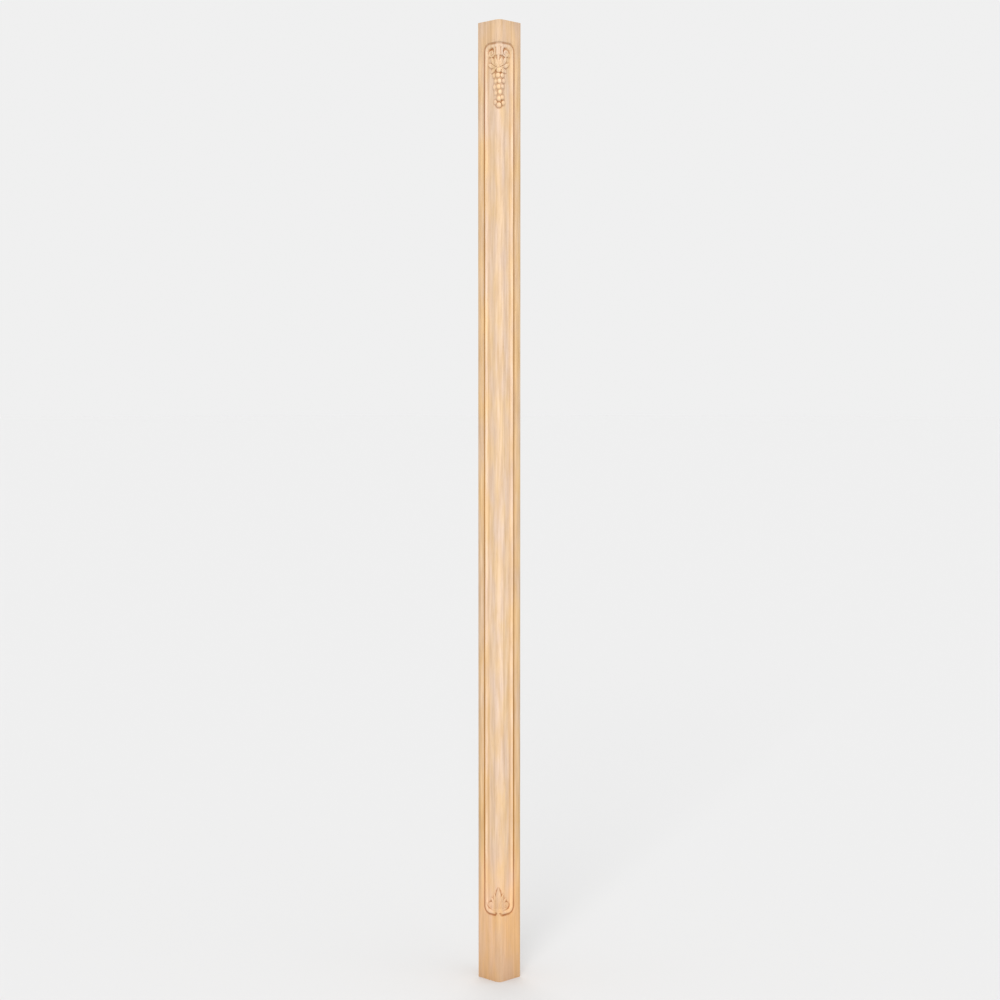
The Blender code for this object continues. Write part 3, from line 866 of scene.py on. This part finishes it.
class Nodes:
    """Short way to add and link shader nodes."""

    def __init__(self, tree):
        self.tree = tree

    def add(self, kind, **settings):
        """Add a node with some of its settings."""
        node = self.tree.nodes.new(kind)
        for key, value in settings.items():
            setattr(node, key, value)
        return node

    def link(self, source, target):
        """Link two sockets."""
        self.tree.links.new(source, target)

    def feed(self, socket, value):
        """Link a socket, or set it to a number or a colour."""
        if hasattr(value, "links"):
            self.link(value, socket)
        else:
            socket.default_value = (*value, 1) if isinstance(value, tuple) else value

    def math(self, operation, a, b=0.0):
        """Work out a number from one or two others."""
        node = self.add("ShaderNodeMath", operation=operation)
        self.feed(node.inputs[0], a)
        self.feed(node.inputs[1], b)
        return node.outputs[0]

    def noise(self, vector, scale, detail=3.0, roughness=0.5):
        """Noise with its own number of waves a metre along each axis."""
        mapping = self.add("ShaderNodeMapping")
        mapping.inputs["Scale"].default_value = scale
        self.link(vector, mapping.inputs["Vector"])
        node = self.add("ShaderNodeTexNoise")
        node.inputs["Scale"].default_value = 1.0
        node.inputs["Detail"].default_value = detail
        node.inputs["Roughness"].default_value = roughness
        self.link(mapping.outputs[0], node.inputs["Vector"])
        return node.outputs["Fac"]

    def split(self, vector):
        """Parts of a vector along x, y and z."""
        node = self.add("ShaderNodeSeparateXYZ")
        self.link(vector, node.inputs[0])
        return node.outputs

    def ramp(self, value, stops):
        """Number or colour that runs through the stops as the value grows."""
        node = self.add("ShaderNodeValToRGB")
        ramp = node.color_ramp
        while len(ramp.elements) < len(stops):
            ramp.elements.new(0.5)
        for element, (place, colour) in zip(ramp.elements, stops):
            element.position = place
            element.color = (*colour, 1) if isinstance(colour, tuple) else (colour, colour, colour, 1)
        self.link(value, node.inputs["Fac"])
        return node.outputs["Color"]

    def mix(self, kind, amount, a, b):
        """Mix two colours."""
        node = self.add("ShaderNodeMix", data_type="RGBA", blend_type=kind)
        self.feed(node.inputs[0], amount)
        self.feed(node.inputs[MIX_A], a)
        self.feed(node.inputs[MIX_B], b)
        return node.outputs[MIX_RESULT]

    def attribute(self, name):
        """Number kept with the mesh."""
        return self.add("ShaderNodeAttribute", attribute_name=name).outputs["Fac"]


# Colours of the wood, and of the painted shade and painted highlights that darken or brighten it, linear
CREAM = (0.695, 0.525, 0.370)
TAN = (0.570, 0.407, 0.262)
HALF_TAN = (0.632, 0.466, 0.316)
LATE_WOOD = (0.97, 0.94, 0.89)
END_EARLY = (0.93, 0.90, 0.86)
END_LATE = (0.74, 0.63, 0.52)
ROSY = (0.985, 1.00, 1.13)
GOLDEN = (1.03, 0.98, 0.86)
PORE = (0.62, 0.47, 0.34)
FLATS_TINT = (0.915, 0.865, 0.78)
SHAFT_TINT = (0.92, 0.93, 0.91)
FOOT_TINT = (1.075, 0.965, 0.85)
LOW_SHAFT_TINT = (0.98, 0.955, 0.91)
# Painted shade over the arris outside the panel, against its highlight
ARRIS_SHADE = (0.90, 0.94, 0.96)
# Painted shade over the palmette's middle at the arris
PALMETTE_SHADE = (0.855, 0.855, 0.855)
# Painted shade, darker in the hollows
PAINTED_SHADE = (0.62, 0.41, 0.10)
PAINTED_SHADE_AT_ENDS = (0.56, 0.32, 0.16)
# Painted highlight on raised places
RAISED_HIGHLIGHT = (1.18, 1.16, 1.14)
# Painted highlight along the bead, the flats beside the groove and the arris
PAINTED_HIGHLIGHT = (1.09, 1.075, 1.03)

# Noise in the wood: waves a metre along x, y and z, detail and roughness
SWAY = ((5.0, 5.0, 1.1), 2.0)
WANDER = ((30.0, 30.0, 2.4), 3.0)
BLOTCH = ((38.0, 38.0, 10.0), 3.0)
STREAK = ((150.0, 150.0, 9.0), 3.0, 0.55)
FIBRE = ((1100.0, 1100.0, 14.0), 3.0, 0.6)
PORES = ((1500.0, 1500.0, 75.0), 1.0)

# Growth rings round a pith outside the post, in metres; a ring's late wood is its dark line
PITH_X = -0.19
PITH_Y = 0.105
RINGS_A_METRE = 260.0
SWAY_SIZE = 0.030
WANDER_SIZE = 0.0022
RING_STOPS = ((0.0, 0.1), (0.5, 0.35), (0.85, 1.0), (0.94, 0.2), (1.0, 0.1))

# Ramps of the bare wood
STREAK_STOPS = ((0.34, 0.0), (0.66, 1.0))
BLOTCH_STOPS = ((0.35, GOLDEN), (0.65, ROSY))
FIBRE_STOPS = ((0.25, 0.40), (0.75, 0.60))
PORE_STOPS = ((0.0, 1.0), (0.27, 1.0), (0.34, 0.0), (1.0, 0.0))
END_STOPS = ((0.97, 0.0), (0.995, 1.0))
END_COLOURS = ((0.1, END_EARLY), (1.0, END_LATE))
FOOT_EVENNESS = 0.45
FIBRE_SHOWS = 0.35
PORES_SHOW = 0.30

# Where the tints lie, by shares of the post's height, or of its side from the middle to the arris
FOOT_LEVELS = ((0.082, 1.0), (0.148, 0.0))
SHAFT_LEVELS = ((0.06, 0.0), (0.14, 1.0), (0.94, 1.0), (0.985, 0.0))
LOW_SHAFT_LEVELS = ((0.11, 0.0), (0.14, 1.0), (0.19, 1.0), (0.30, 0.0))
ARRIS_STOPS = ((0.80, 0.0), (0.97, 1.0))
CENTRE_STOPS = ((0.72, 0.0), (0.80, 1.0))

# Painted shade in sunk places and painted highlight on raised ones, by how far they lie under or over
# what is round them
SHADE_LEVELS = ((0.10, 0.48), (0.14, 0.84), (0.21, 0.80), (0.31, 0.68), (0.39, 0.51), (0.88, 0.51),
                (0.92, 0.45))
SHADE_STOPS = ((0.03, 0.0), (0.62, 1.0))
SHADE_COLOURS = ((0.11, PAINTED_SHADE_AT_ENDS), (0.16, PAINTED_SHADE), (0.84, PAINTED_SHADE), (0.91, PAINTED_SHADE_AT_ENDS))
RAISED_HIGHLIGHT_LEVELS = ((0.08, 0.1), (0.12, 1.0), (0.955, 1.0), (0.968, 0.3), (0.974, 0.3), (0.979, 1.0))
RAISED_HIGHLIGHT_STOPS = ((0.12, 0.0), (1.0, 1.0))

# Shine and fine bumps
ROUGH_STOPS = ((0.3, 0.55), (0.7, 0.70))
SPECULAR = 0.35
BUMP_STRENGTH = 0.35
BUMP_DEPTH = 0.0002
PORE_DEPTH = 0.8


def growth_rings(nodes, place, x, y):
    """Late wood, 1 in a ring's dark line: rings round a pith outside the post, swaying up the stem."""
    sway = nodes.noise(place, *SWAY)
    wander = nodes.noise(place, *WANDER)
    x = nodes.math("ADD", x, -PITH_X)
    y = nodes.math("ADD", y, -PITH_Y)
    reach = nodes.math("ADD", nodes.math("MULTIPLY", x, x), nodes.math("MULTIPLY", y, y))
    reach = nodes.math("POWER", reach, 0.5)
    reach = nodes.math("ADD", reach, nodes.math("MULTIPLY", sway, SWAY_SIZE))
    reach = nodes.math("ADD", reach, nodes.math("MULTIPLY", wander, WANDER_SIZE))
    rings = nodes.math("FRACT", nodes.math("MULTIPLY", reach, RINGS_A_METRE))
    return nodes.ramp(rings, RING_STOPS)


def bare_wood(nodes, place, rings, facing_up, foot, fibre, pores):
    """Colour of the sanded wood, streaked along the post, with growth rings on its ends."""
    streak = nodes.ramp(nodes.noise(place, *STREAK), STREAK_STOPS)
    colour = nodes.mix("MIX", streak, TAN, CREAM)
    colour = nodes.mix("MIX", nodes.math("MULTIPLY", foot, FOOT_EVENNESS), colour, HALF_TAN)
    colour = nodes.mix("MULTIPLY", rings, colour, LATE_WOOD)
    ends = nodes.ramp(nodes.math("ABSOLUTE", facing_up), END_STOPS)
    colour = nodes.mix("MULTIPLY", ends, colour, nodes.ramp(rings, END_COLOURS))
    blotch = nodes.ramp(nodes.noise(place, *BLOTCH), BLOTCH_STOPS)
    colour = nodes.mix("MULTIPLY", 1.0, colour, blotch)
    colour = nodes.mix("OVERLAY", FIBRE_SHOWS, colour, nodes.ramp(fibre, FIBRE_STOPS))
    return nodes.mix("MULTIPLY", nodes.math("MULTIPLY", pores, PORES_SHOW), colour, PORE)


def tints(nodes, level, outward, foot):
    """Amount and colour of each tint: flats, shaft, foot and low shaft, with painted shade over the arris
    and over the palmette's middle.
    """
    flats = nodes.math("SUBTRACT", 1.0, nodes.attribute("panel"))
    shaft = nodes.math("MULTIPLY", flats, nodes.ramp(level, SHAFT_LEVELS))
    low_shaft = nodes.ramp(level, LOW_SHAFT_LEVELS)
    # Painted shade over the arris outside the panel
    arris = nodes.math("MULTIPLY", flats, nodes.ramp(outward, ARRIS_STOPS))
    inside_foot = nodes.math("SUBTRACT", foot, flats)
    # Painted shade over the palmette's middle at the arris
    centre = nodes.math("MULTIPLY", nodes.ramp(outward, CENTRE_STOPS), inside_foot)
    return ((flats, FLATS_TINT), (shaft, SHAFT_TINT), (foot, FOOT_TINT), (low_shaft, LOW_SHAFT_TINT),
            (arris, ARRIS_SHADE), (centre, PALMETTE_SHADE))


def wear(nodes, level):
    """Amount and colour of the painted shade in sunk places, of the painted highlight on raised places,
    and of the painted highlight along the bead and the arris.
    """
    sunk = nodes.attribute("sunk")
    # Painted shade in the sunk places
    deep = nodes.math("MULTIPLY", sunk, nodes.ramp(level, SHADE_LEVELS))
    painted_shade = nodes.ramp(deep, SHADE_STOPS)
    # Painted highlight on raised places
    raised = nodes.ramp(nodes.math("MULTIPLY", sunk, -1.0), RAISED_HIGHLIGHT_STOPS)
    raised_highlight = nodes.math("MULTIPLY", raised, nodes.ramp(level, RAISED_HIGHLIGHT_LEVELS))
    return ((painted_shade, nodes.ramp(level, SHADE_COLOURS)), (raised_highlight, RAISED_HIGHLIGHT), (nodes.attribute("painted_highlight"), PAINTED_HIGHLIGHT))


def fine_grain(nodes, shader, fibre, pores):
    """Shine and fine bumps that follow the fibres and pores."""
    nodes.link(nodes.ramp(fibre, ROUGH_STOPS), shader.inputs["Roughness"])
    shader.inputs["Specular IOR Level"].default_value = SPECULAR
    bump = nodes.add("ShaderNodeBump")
    bump.inputs["Strength"].default_value = BUMP_STRENGTH
    bump.inputs["Distance"].default_value = BUMP_DEPTH
    grain = nodes.math("SUBTRACT", fibre, nodes.math("MULTIPLY", pores, PORE_DEPTH))
    nodes.link(grain, bump.inputs["Height"])
    nodes.link(bump.outputs[0], shader.inputs["Normal"])


def wood():
    """Pale sanded wood with straight grain, fine fibres and short pores, with painted shade in its
    hollows and over the arris, and painted highlight on raised places, the bead and the arris in the
    panel.
    """
    material = bpy.data.materials.new("pale_wood")
    material.use_nodes = True
    nodes = Nodes(material.node_tree)
    shader = material.node_tree.nodes["Principled BSDF"]
    coordinates = nodes.add("ShaderNodeTexCoord")
    place = coordinates.outputs["Object"]
    x, y, z = nodes.split(place)
    facing_up = nodes.split(coordinates.outputs["Normal"])[2]
    level = nodes.math("DIVIDE", z, HEIGHT / MM)
    outward = nodes.math("DIVIDE", nodes.math("SUBTRACT", x, y), SIDE / MM)
    foot = nodes.ramp(level, FOOT_LEVELS)
    rings = growth_rings(nodes, place, x, y)
    fibre = nodes.noise(place, *FIBRE)
    pores = nodes.ramp(nodes.noise(place, *PORES), PORE_STOPS)
    colour = bare_wood(nodes, place, rings, facing_up, foot, fibre, pores)
    for amount, tint in (*tints(nodes, level, outward, foot), *wear(nodes, level)):
        colour = nodes.mix("MULTIPLY", amount, colour, tint)
    nodes.link(colour, shader.inputs["Base Color"])
    fine_grain(nodes, shader, fibre, pores)
    return material


# Directions as the camera sees them before its tilt: it looks straight at the arris
RIGHT = Vector((math.sqrt(0.5), math.sqrt(0.5), 0))
AWAY = Vector((-math.sqrt(0.5), math.sqrt(0.5), 0))
UP = Vector((0, 0, 1))

# Floor and light; a sun has a bearing, a rise and a spread in degrees, then its strength
FLOOR_HALF = 300.0
FLOOR_GREY = (0.70, 0.70, 0.70, 1)
FLOOR_ROUGHNESS = 0.9
SUNS = (("key", -9, 22, 22, 1.60), ("fill", 50, 10, 60, 0.62), ("back", 186, 20, 60, 1.2))
SUN_AWAY = 5
SKY = (1, 1, 1, 1)
SKY_STRENGTH = 0.87

# Camera: its lens in millimetres, its place in metres and its tilt down in radians
SENSOR = 36.0
LENS = 66.888
CAMERA_RIGHT = 0.00175
CAMERA_BACK = 4.7398
CAMERA_UP = 1.4673
CAMERA_TILT = 0.0491776


def floor_paint():
    """Plain matt pale paint."""
    material = bpy.data.materials.new("floor_paint")
    material.use_nodes = True
    shader = material.node_tree.nodes["Principled BSDF"]
    shader.inputs["Base Color"].default_value = FLOOR_GREY
    shader.inputs["Roughness"].default_value = FLOOR_ROUGHNESS
    shader.inputs["Specular IOR Level"].default_value = 0.0
    return material


def floor():
    """Large plain floor."""
    mesh = bpy.data.meshes.new("floor")
    bm = bmesh.new()
    bmesh.ops.create_grid(bm, x_segments=1, y_segments=1, size=FLOOR_HALF)
    bm.to_mesh(mesh)
    bm.free()
    thing = bpy.data.objects.new("floor", mesh)
    thing.data.materials.append(floor_paint())
    bpy.context.scene.collection.objects.link(thing)


def soft_sun(name, bearing, rise, spread_angle, strength):
    """Even light from a bearing to the right of the camera, and a rise over the floor, in degrees."""
    turn = math.radians(bearing)
    lift = math.radians(rise)
    towards = (RIGHT * math.sin(turn) - AWAY * math.cos(turn)) * math.cos(lift) + UP * math.sin(lift)
    light = bpy.data.lights.new(name, "SUN")
    light.angle = math.radians(spread_angle)
    light.energy = strength
    thing = bpy.data.objects.new(name, light)
    thing.rotation_euler = (-towards).to_track_quat("-Z", "Y").to_euler()
    thing.location = towards * SUN_AWAY
    bpy.context.scene.collection.objects.link(thing)


def lights():
    """Soft key a little left of the camera, broad fill from the right, light from behind, even sky."""
    for sun in SUNS:
        soft_sun(*sun)
    world = bpy.data.worlds.new("sky")
    world.use_nodes = True
    sky = world.node_tree.nodes["Background"]
    sky.inputs["Color"].default_value = SKY
    sky.inputs["Strength"].default_value = SKY_STRENGTH
    bpy.context.scene.world = world


def camera():
    """Camera where the photograph was taken from."""
    lens = bpy.data.cameras.new("camera")
    lens.sensor_width = SENSOR
    lens.lens = LENS
    thing = bpy.data.objects.new("camera", lens)
    thing.location = RIGHT * CAMERA_RIGHT - AWAY * CAMERA_BACK + UP * CAMERA_UP
    ahead = AWAY * math.cos(CAMERA_TILT) - UP * math.sin(CAMERA_TILT)
    thing.rotation_euler = ahead.to_track_quat("-Z", "Y").to_euler()
    bpy.context.scene.collection.objects.link(thing)
    bpy.context.scene.camera = thing


piece = post()
thin(piece, TRIANGLES)
piece.data.materials.append(wood())
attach(piece, "root")
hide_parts("corner_post")
floor()
lights()
camera()
bpy.context.scene.view_settings.view_transform = "Standard"
